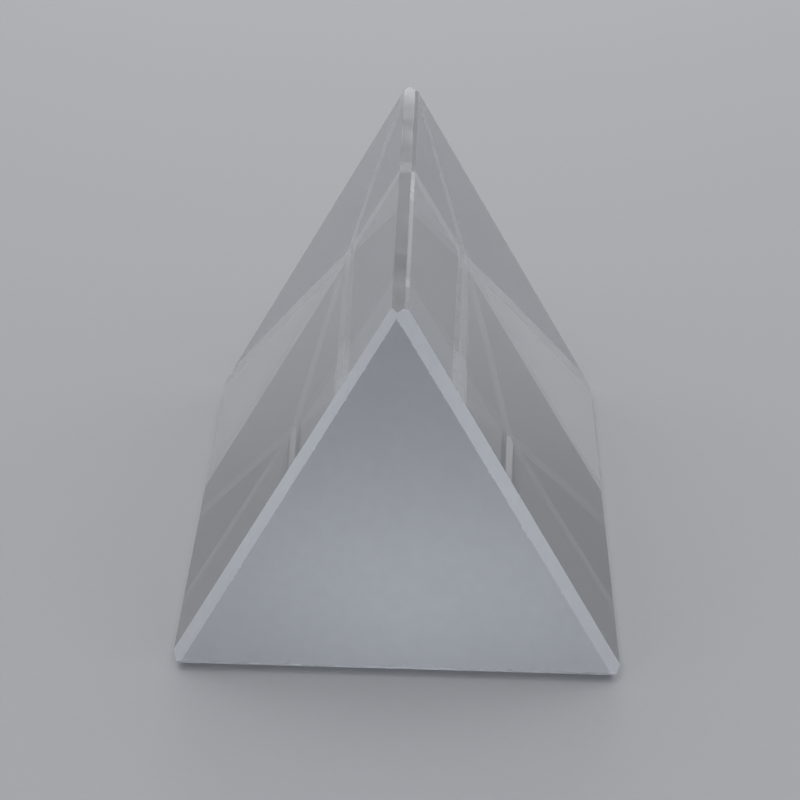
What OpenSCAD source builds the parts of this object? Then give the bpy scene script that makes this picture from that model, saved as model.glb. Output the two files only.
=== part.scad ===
// Equilateral dispersing prism, ground and polished from one block of clear optical glass.
// The base lies on z = 0, the length runs along y, and the origin is at the middle of the base.

/* [Block] */
// Width of each long face, measured between the sharp edges of the full triangle
face_w = 30; // [15:0.5:60]
// Length of the block between its two ground ends
block_len = 50; // [20:1:150]

/* [Long edges] */
// Width of the flat that takes the sharpness off each long edge
edge_flat_w = 1; // [0.6:0.05:2.5]
// Width of the narrow facet between the top flat and the right-hand face
top_facet_w = 0.3; // [0.1:0.05:0.6]

/* [End bevels] */
// How far the bevel along the left-hand face cuts into an end
left_bevel_in = 0.5; // [0.2:0.05:2]
// How far the bevel along the right-hand face cuts into an end
right_bevel_in = 0.65; // [0.2:0.05:2]
// How far the bevel along the base cuts into an end
base_bevel_in = 0.75; // [0.2:0.05:2]
// How far every end bevel runs back along its long face
bevel_run = 1.2; // [0.3:0.05:3]

/* [Front end] */
// Angle by which the front end is ground out of square with the length
front_turn = 1.5; // [0:0.1:3]

/* [Hidden] */

// Cool grey of clear glass with frosted ends
glass_colour = [0.62, 0.64, 0.68];

// Angle between neighbouring long faces
corner_angle = 60;
// Height of the full triangle
triangle_h = face_w * sin(corner_angle);
// Distance from the middle of the triangle to each long face
face_reach = triangle_h / 3;
// Half of the overall width, to the outer corner of a low flat
half_w = (face_w - edge_flat_w) / 2;
// Length of the rough block before its ends are ground
rough_len = block_len + face_w;

// Sharp corners of the full triangle, in x and z
left_corner = [-face_w / 2, 0];
right_corner = [face_w / 2, 0];
top_corner = [0, triangle_h];

// Two ends of the top flat before its facet is cut
flat_left = toward(top_corner, left_corner, edge_flat_w);
flat_right = toward(top_corner, right_corner, edge_flat_w);
// How much the facet takes off the top flat, and off the right-hand face
facet_leg = top_facet_w / (2 * sin(corner_angle));

// Outline of the block seen along its length, anticlockwise from the foot of the left-hand face
section = [
    toward(left_corner, top_corner, edge_flat_w),
    toward(left_corner, right_corner, edge_flat_w),
    toward(right_corner, left_corner, edge_flat_w),
    toward(right_corner, top_corner, edge_flat_w),
    toward(flat_right, right_corner, facet_leg),
    toward(flat_right, flat_left, facet_leg),
    flat_left
];

// End bevels: the turn about y from straight up to the long face, and the cut into the end
end_bevels = [
    [-corner_angle, left_bevel_in],
    [corner_angle, right_bevel_in],
    [180, base_bevel_in]
];

// Point at a distance from one point on the way to another
function toward(from, to, distance) = from + distance * (to - from) / norm(to - from);

// Wedge ground off along one long face of an end that lies at y = 0, overshooting on every side
module end_wedge(turn, bevel_in) {
    translate([0, 0, face_reach])
        rotate([0, turn, 0])
            translate([0, 0, face_reach])
                rotate([90, 0, 90])
                    linear_extrude(height = 2 * face_w, center = true)
                        polygon([
                            [bevel_run, -2 * bevel_in],
                            [bevel_run, bevel_in],
                            [-2 * bevel_run, bevel_in]
                        ]);
}

// All that is ground off an end that lies at y = 0: what stands beyond it, and its bevels
module end_cut() {
    translate([-2 * face_w, 0, -face_w])
        cube([4 * face_w, face_w, 3 * face_w]);
    for (bevel = end_bevels)
        end_wedge(bevel[0], bevel[1]);
}

module prism_block() {
    color(glass_colour)
        difference() {
            rotate([90, 0, 0])
                linear_extrude(height = rough_len, center = true)
                    polygon(section);
            // Rear end, square with the length
            translate([0, block_len / 2, 0])
                end_cut();
            // Front end, turned about its right-hand side
            mirror([0, 1, 0])
                translate([half_w, block_len / 2, 0])
                    rotate([0, 0, front_turn])
                        translate([-half_w, 0, 0])
                            end_cut();
        }
}

prism_block();
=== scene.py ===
"""Looks of a glass prism: one block of clear crown glass with polished long faces and ground ends."""
import math
import random

import bmesh
import bpy
from mathutils import Matrix, Vector


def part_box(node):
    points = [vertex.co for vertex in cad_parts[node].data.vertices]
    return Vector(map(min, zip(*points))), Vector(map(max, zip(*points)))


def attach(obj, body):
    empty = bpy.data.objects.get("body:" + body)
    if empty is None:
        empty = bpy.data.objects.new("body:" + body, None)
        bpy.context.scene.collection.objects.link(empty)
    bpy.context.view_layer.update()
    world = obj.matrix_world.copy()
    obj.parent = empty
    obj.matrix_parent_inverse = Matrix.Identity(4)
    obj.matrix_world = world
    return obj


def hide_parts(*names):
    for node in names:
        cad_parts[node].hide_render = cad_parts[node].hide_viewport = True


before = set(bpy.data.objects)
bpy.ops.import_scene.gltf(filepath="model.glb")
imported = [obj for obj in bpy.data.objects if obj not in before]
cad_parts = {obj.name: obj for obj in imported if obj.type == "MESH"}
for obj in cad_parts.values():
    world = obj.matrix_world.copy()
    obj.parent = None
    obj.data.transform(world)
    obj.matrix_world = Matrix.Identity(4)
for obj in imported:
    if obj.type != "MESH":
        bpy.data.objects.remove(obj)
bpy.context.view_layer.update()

# Camera, as in the photograph: places in metres, sensor and lens in millimetres
CAMERA_AIM = Vector((-0.00030, 0.00305, 0.00800))
CAMERA_DISTANCE = 0.2150
CAMERA_NEAR = 0.001
CAMERA_AZIMUTH = math.radians(0.847)
CAMERA_ELEVATION = math.radians(22.40)
CAMERA_ROLL = math.radians(0.572)
SENSOR_WIDTH = 36
LENS = 133.87

# Edge flats and end bevels, in metres
FLAT_WIDTH = 0.00100
FACET_WIDTH = 0.00030
BEVEL_RUN = 0.00120
BEVEL_IN = {"left": 0.00050, "right": 0.00065, "base": 0.00075}
# How much deeper a bevel cuts for each metre up its face
BEVEL_TAPER = {"left": -0.0041, "right": 0.0032, "base": 0.0}
# How far the front end is out of square
FRONT_TURN = math.radians(1.5)

# Angle between neighbouring long faces
CORNER_ANGLE = math.radians(60)
# Turn of each surface about the length, in degrees from straight up towards +X
FACE_TURN = {"left": -60, "right": 60, "base": 180}
FLAT_TURN = {"top": 0, "right": 120, "left": 240}
FACET_TURN = 30

# Nicks along the ground edges: spacing of the points, greatest depth, and how rare the deep ones are
NICK_STEP = 0.00018
NICK_DEPTH = 0.00009
NICK_RARITY = 8
NICK_SEED = 7

# Refractive index of crown glass
CROWN_INDEX = 1.517
# Polished surfaces: film of dust and haze of each
POLISHED = {"face": (0.01, 0.005), "flat": (0.12, 0.05), "top_flat": (0.02, 0.15)}
# Ground surfaces: colour, clearness and roughness of each
GROUND = {
    "end": ((0.42, 0.44, 0.475), 0.97, 0.78),
    "bevel": ((0.785, 0.82, 0.875), 0.48, 0.88),
    # Painted shade: the front base bevel gets a darker copy of the bevel finish, which dims the light line
    # along the foot
    "painted_shade_base_bevel": ((0.43, 0.45, 0.48), 0.70, 0.72),
    # Painted light: the rear bevels get a whiter, less clear copy of the bevel finish, so that they look
    # lit from behind
    "painted_light_rear_bevel": ((0.93, 0.95, 0.98), 0.20, 0.88),
}
# Kinds of surface, in the order of the block's material slots
SURFACES = (*POLISHED, *GROUND)
# Kind of each edge flat, and of each bevel at the rear end and then at the front end
FLAT_KIND = {"top": "top_flat", "right": "flat", "left": "flat"}
BEVEL_KINDS = (
    # The rear bevels, base included, take the painted-light copy of the bevel finish
    {"left": "painted_light_rear_bevel", "right": "painted_light_rear_bevel", "base": "painted_light_rear_bevel"},
    # The front base bevel takes the painted-shade copy of the bevel finish
    {"left": "bevel", "right": "bevel", "base": "painted_shade_base_bevel"},
)

# Marks in the finishes: how wide a blotch is, and how many finer layers of noise it has
SMUDGE = (0.0035, 3)
DUST = (0.0004, 2)
MOTTLE = (0.0009, 4)
GRAIN = (0.00012, 2)
FIBRE = (0.0006, 3)
# The part of a noise's range that the marks use
NOISE_LOW = 0.3
NOISE_HIGH = 0.7
# Colours of polished glass that its smudges run between
GLASS_DARK = (0.965, 0.975, 0.985)
GLASS_LIGHT = (0.985, 0.990, 0.995)
# Least haze of a polished surface, as a share of its greatest
LEAST_HAZE = 0.6
# Ground glass: shade of its mottle, spread of its clearness and roughness, and bump of its grain
MOTTLE_SHADE = 0.955
CLEAR_SPREAD = 0.02
ROUGH_SPREAD = 0.05
GRAIN_STRENGTH = 0.2
GRAIN_DEPTH = 0.00002

# Paper floor, a hair below the block
FLOOR_SIZE = 6.0
FLOOR_DROP = 0.00002
FLOOR_COLOUR = (0.50, 0.513, 0.54)
FLOOR_ROUGHNESS = 0.8
FLOOR_SPECULAR = 0.2
FIBRE_SHADE = 0.985

# Softbox above the block
SOFTBOX_HEIGHT = 0.80
SOFTBOX_LEFT = -1.50
SOFTBOX_RIGHT = 1.80
SOFTBOX_FRONT = -2.00
SOFTBOX_BACK = 1.20
SOFTBOX_RADIANCE = 0.72
# Lit cards that stand behind the block: left side, right side, height and radiance of each
CARD_DISTANCE = 0.60
CARDS = {"back_card": (-0.16, 0.125, 0.18, 6.0), "edge_card": (0.165, 0.23, 0.165, 0.45)}

# Studio walls
HORIZON_COLOUR = (0.39, 0.40, 0.415)
LEFT_WALL_COLOUR = (0.117, 0.12, 0.125)
RIGHT_WALL_COLOUR = (0.049, 0.05, 0.052)
# Heights on the unit sphere where the horizon's colour ends and the walls' starts
HORIZON_TOP = 0.27
WALL_START = 0.40
# How far each way from the middle the left wall's colour turns into the right's
WALL_BLEND = 0.20


class Nodes:
    """Short way to add shader nodes to one material."""

    def __init__(self, name):
        self.material = bpy.data.materials.new(name)
        self.material.use_nodes = True
        self.tree = self.material.node_tree
        self.shader = self.tree.nodes["Principled BSDF"]
        self.place = self.add("ShaderNodeTexCoord").outputs["Object"]

    def add(self, kind):
        return self.tree.nodes.new(kind)

    def link(self, source, target):
        self.tree.links.new(source, target)

    def feed(self, source, socket):
        """Links a varying value to a socket of the shader."""
        self.link(source, self.shader.inputs[socket])

    def set(self, socket, value):
        """Sets a constant on a socket of the shader."""
        self.shader.inputs[socket].default_value = value

    def noise(self, size, detail):
        """Noise whose blotches are about the given size across."""
        noise = self.add("ShaderNodeTexNoise")
        noise.inputs["Scale"].default_value = 1 / size
        noise.inputs["Detail"].default_value = detail
        self.link(self.place, noise.inputs["Vector"])
        return noise.outputs["Fac"]

    def span(self, fac, low, high):
        """Maps a noise from its usual range to low..high."""
        ramp = self.add("ShaderNodeMapRange")
        ramp.inputs["From Min"].default_value = NOISE_LOW
        ramp.inputs["From Max"].default_value = NOISE_HIGH
        ramp.inputs["To Min"].default_value = low
        ramp.inputs["To Max"].default_value = high
        self.link(fac, ramp.inputs["Value"])
        return ramp.outputs["Result"]

    def colours(self, fac, low, high):
        """Two colours blended by a noise."""
        ramp = self.add("ShaderNodeValToRGB")
        ramp.color_ramp.elements[0].position = NOISE_LOW
        ramp.color_ramp.elements[1].position = NOISE_HIGH
        ramp.color_ramp.elements[0].color = (*low, 1)
        ramp.color_ramp.elements[1].color = (*high, 1)
        self.link(fac, ramp.inputs["Fac"])
        return ramp.outputs["Color"]

    def bump(self, fac, strength, distance):
        """Raises the surface by a noise."""
        bump = self.add("ShaderNodeBump")
        bump.inputs["Strength"].default_value = strength
        bump.inputs["Distance"].default_value = distance
        self.link(fac, bump.inputs["Height"])
        self.feed(bump.outputs["Normal"], "Normal")


def shade(colour, share):
    """Darker form of a colour."""
    return [channel * share for channel in colour]


def polished_glass(kind):
    """Clear polished glass with a faint uneven film of handling and dust."""
    film, haze = POLISHED[kind]
    nodes = Nodes("polished_glass_" + kind)
    nodes.set("IOR", CROWN_INDEX)
    smudge = nodes.noise(*SMUDGE)
    dust = nodes.noise(*DUST)
    nodes.feed(nodes.colours(smudge, GLASS_DARK, GLASS_LIGHT), "Base Color")
    nodes.feed(nodes.span(smudge, haze * LEAST_HAZE, haze), "Roughness")
    nodes.feed(nodes.span(dust, 1.0, 1.0 - film), "Transmission Weight")
    return nodes.material


def ground_glass(kind):
    """Fine-ground matt glass: it scatters light and still lets some of it through."""
    colour, clear, rough = GROUND[kind]
    nodes = Nodes("ground_glass_" + kind)
    nodes.set("IOR", CROWN_INDEX)
    mottle = nodes.noise(*MOTTLE)
    grain = nodes.noise(*GRAIN)
    nodes.feed(nodes.colours(mottle, shade(colour, MOTTLE_SHADE), colour), "Base Color")
    nodes.feed(nodes.span(grain, rough - ROUGH_SPREAD, rough + ROUGH_SPREAD), "Roughness")
    nodes.feed(nodes.span(mottle, clear - CLEAR_SPREAD, clear + CLEAR_SPREAD), "Transmission Weight")
    nodes.bump(grain, GRAIN_STRENGTH, GRAIN_DEPTH)
    return nodes.material


def finish(kind):
    """Material of one kind of surface."""
    return polished_glass(kind) if kind in POLISHED else ground_glass(kind)


def slant(degrees):
    """Unit vector across the length, turned from straight up towards +X."""
    turn = math.radians(degrees)
    return Vector((math.sin(turn), 0, math.cos(turn)))


def cut(bm, point, normal, kind):
    """Grinds away what lies beyond a plane and gives the new face its material."""
    geometry = bm.verts[:] + bm.edges[:] + bm.faces[:]
    made = bmesh.ops.bisect_plane(bm, geom=geometry, plane_co=point, plane_no=normal, clear_outer=True)
    rim = [e for e in made["geom_cut"] if isinstance(e, bmesh.types.BMEdge)]
    for face in bmesh.ops.contextual_create(bm, geom=rim)["faces"]:
        face.material_index = SURFACES.index(kind)


def end_places(high):
    """Where an end drawn at y = 0 goes: the rear end square, the front end turned about its right side."""
    rear = Matrix.Translation((0, high.y, 0))
    pivot = Matrix.Translation((high.x, 0, 0))
    turned = pivot @ Matrix.Rotation(FRONT_TURN, 4, "Z") @ pivot.inverted()
    front = Matrix.Scale(-1, 4, (0, 1, 0)) @ rear @ turned
    return rear, front


def cut_block(bm):
    """Cuts the block to shape from the outside in: long faces, edge flats, ends, end bevels."""
    low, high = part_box("prism_block")
    face_width = high.x - low.x + FLAT_WIDTH
    # Distances of the faces, flats and facet from the middle of the section
    face_reach = face_width * math.sin(CORNER_ANGLE) / 3
    flat_reach = 2 * face_reach - FLAT_WIDTH * math.sin(CORNER_ANGLE)
    facet_reach = (
        FLAT_WIDTH / 2 * math.sin(CORNER_ANGLE / 2)
        + flat_reach * math.cos(CORNER_ANGLE / 2)
        - FACET_WIDTH / 2 / math.tan(CORNER_ANGLE)
    )
    middle = Vector((0, 0, low.z + face_reach))
    outward = Vector((0, 1, 0))
    bmesh.ops.create_cube(bm, size=2 * (high - low).length)
    for turn in FACE_TURN.values():
        cut(bm, middle + slant(turn) * face_reach, slant(turn), "face")
    for name, turn in FLAT_TURN.items():
        cut(bm, middle + slant(turn) * flat_reach, slant(turn), FLAT_KIND[name])
    cut(bm, middle + slant(FACET_TURN) * facet_reach, slant(FACET_TURN), "flat")
    for place, bevel_kind in zip(end_places(high), BEVEL_KINDS):
        turned = place.to_3x3()
        cut(bm, place @ middle, turned @ outward, "end")
        for name, turn in FACE_TURN.items():
            rim = middle + slant(turn) * (face_reach - BEVEL_IN[name])
            up_face = slant(turn - math.copysign(90, turn))
            lean_out = slant(turn) * BEVEL_RUN + outward * BEVEL_IN[name]
            lean_out += up_face * BEVEL_TAPER[name] * BEVEL_RUN
            cut(bm, place @ rim, turned @ lean_out, bevel_kind[name])


def wear_edges(bm):
    """Nicks the rims of the ground bevels here and there, each within its neighbour's plane."""
    chance = random.Random(NICK_SEED)
    bevels = [index for index, kind in enumerate(SURFACES) if kind.endswith("bevel")]
    rims = []
    for edge in bm.edges:
        others = [f for f in edge.link_faces if f.material_index not in bevels]
        if len(others) == 1 and edge.calc_length() > 2 * NICK_STEP:
            rims.append((edge, others[0].normal.copy(), others[0].calc_center_median()))
    for edge, normal, centre in rims:
        first, last = edge.verts
        inward = normal.cross((last.co - first.co).normalized())
        if inward.dot(centre - first.co) < 0:
            inward.negate()
        points = [first]
        for left in range(int(edge.calc_length() / NICK_STEP), 1, -1):
            points.append(bmesh.utils.edge_split(edge, points[-1], 1 / left)[1])
        for point in points[1:]:
            point.co += inward * chance.random() ** NICK_RARITY * NICK_DEPTH
    uneven = [f for f in bm.faces if f.material_index in bevels]
    bmesh.ops.triangulate(bm, faces=uneven)


def shade_as_planes(mesh, planes):
    """Shades every face, nicked or not, by the plane that it was ground to."""
    normals = []
    for face in mesh.polygons:
        plane = max(planes, key=face.normal.dot)
        normals.extend([plane] * face.loop_total)
    mesh.normals_split_custom_set(normals)


def prism_block():
    """The whole block of glass, with a finish on each of its surfaces."""
    bm = bmesh.new()
    cut_block(bm)
    bmesh.ops.recalc_face_normals(bm, faces=bm.faces[:])
    planes = [f.normal.copy() for f in bm.faces]
    wear_edges(bm)
    mesh = bpy.data.meshes.new("ground_prism")
    bm.to_mesh(mesh)
    bm.free()
    shade_as_planes(mesh, planes)
    for kind in SURFACES:
        mesh.materials.append(finish(kind))
    piece = bpy.data.objects.new("ground_prism", mesh)
    bpy.context.scene.collection.objects.link(piece)
    return piece


def floor():
    """Plain pale sheet of paper under the block."""
    half = FLOOR_SIZE / 2
    corners = [(x, y, -FLOOR_DROP) for x, y in ((-half, -half), (half, -half), (half, half), (-half, half))]
    mesh = bpy.data.meshes.new("floor")
    mesh.from_pydata(corners, [], [(0, 1, 2, 3)])
    nodes = Nodes("floor_paper")
    nodes.set("Roughness", FLOOR_ROUGHNESS)
    nodes.set("Specular IOR Level", FLOOR_SPECULAR)
    fibre = nodes.noise(*FIBRE)
    nodes.feed(nodes.colours(fibre, shade(FLOOR_COLOUR, FIBRE_SHADE), FLOOR_COLOUR), "Base Color")
    mesh.materials.append(nodes.material)
    piece = bpy.data.objects.new("floor", mesh)
    bpy.context.scene.collection.objects.link(piece)
    return piece


def soft_lamp(name, place, facing, wide, deep, radiance):
    """Plain rectangle of even light, with the power that gives it a radiance."""
    lamp = bpy.data.lights.new(name, "AREA")
    lamp.shape = "RECTANGLE"
    lamp.size = wide
    lamp.size_y = deep
    lamp.energy = radiance * math.pi * wide * deep
    piece = bpy.data.objects.new(name, lamp)
    piece.location = place
    piece.rotation_euler = facing.to_track_quat("-Z", "Y").to_euler()
    bpy.context.scene.collection.objects.link(piece)


def studio_lamps():
    """A large softbox level above the block, and low lit cards behind it."""
    wide = SOFTBOX_RIGHT - SOFTBOX_LEFT
    deep = SOFTBOX_BACK - SOFTBOX_FRONT
    across = (SOFTBOX_LEFT + SOFTBOX_RIGHT) / 2
    along = (SOFTBOX_FRONT + SOFTBOX_BACK) / 2
    above = Vector((across, along, SOFTBOX_HEIGHT))
    soft_lamp("softbox", above, Vector((0, 0, -1)), wide, deep, SOFTBOX_RADIANCE)
    for name, (left, right, height, radiance) in CARDS.items():
        behind = Vector(((left + right) / 2, CARD_DISTANCE, height / 2))
        soft_lamp(name, behind, Vector((0, -1, 0)), right - left, height, radiance)


def wall_blend(tree, value, start, end):
    """Node whose first colour turns into its second as a value goes from start to end."""
    share = tree.nodes.new("ShaderNodeMapRange")
    share.inputs["From Min"].default_value = start
    share.inputs["From Max"].default_value = end
    blend = tree.nodes.new("ShaderNodeMixRGB")
    tree.links.new(value, share.inputs["Value"])
    tree.links.new(share.outputs["Result"], blend.inputs["Fac"])
    return blend


def studio_walls():
    """Dim studio round the block, paler towards the horizon and on the left."""
    world = bpy.data.worlds.new("studio")
    world.use_nodes = True
    tree = world.node_tree
    place = tree.nodes.new("ShaderNodeTexCoord")
    split = tree.nodes.new("ShaderNodeSeparateXYZ")
    tree.links.new(place.outputs["Generated"], split.inputs["Vector"])
    walls = wall_blend(tree, split.outputs["X"], -WALL_BLEND, WALL_BLEND)
    walls.inputs["Color1"].default_value = (*LEFT_WALL_COLOUR, 1)
    walls.inputs["Color2"].default_value = (*RIGHT_WALL_COLOUR, 1)
    studio = wall_blend(tree, split.outputs["Z"], HORIZON_TOP, WALL_START)
    studio.inputs["Color1"].default_value = (*HORIZON_COLOUR, 1)
    tree.links.new(walls.outputs["Color"], studio.inputs["Color2"])
    tree.links.new(studio.outputs["Color"], tree.nodes["Background"].inputs["Color"])
    bpy.context.scene.world = world


def camera():
    """Camera at the photograph's viewing angle."""
    data = bpy.data.cameras.new("camera")
    data.sensor_width = SENSOR_WIDTH
    data.lens = LENS
    data.clip_start = CAMERA_NEAR
    piece = bpy.data.objects.new("camera", data)
    back = Vector((
        math.sin(CAMERA_AZIMUTH) * math.cos(CAMERA_ELEVATION),
        -math.cos(CAMERA_AZIMUTH) * math.cos(CAMERA_ELEVATION),
        math.sin(CAMERA_ELEVATION),
    ))
    facing = (-back).to_track_quat("-Z", "Y").to_matrix().to_4x4()
    place = Matrix.Translation(CAMERA_AIM + back * CAMERA_DISTANCE)
    piece.matrix_world = place @ facing @ Matrix.Rotation(CAMERA_ROLL, 4, "Z")
    bpy.context.scene.collection.objects.link(piece)
    bpy.context.scene.camera = piece


camera()
studio_lamps()
studio_walls()
floor()
block = prism_block()
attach(block, "root")
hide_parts("prism_block")

bpy.context.scene.view_settings.view_transform = "Standard"
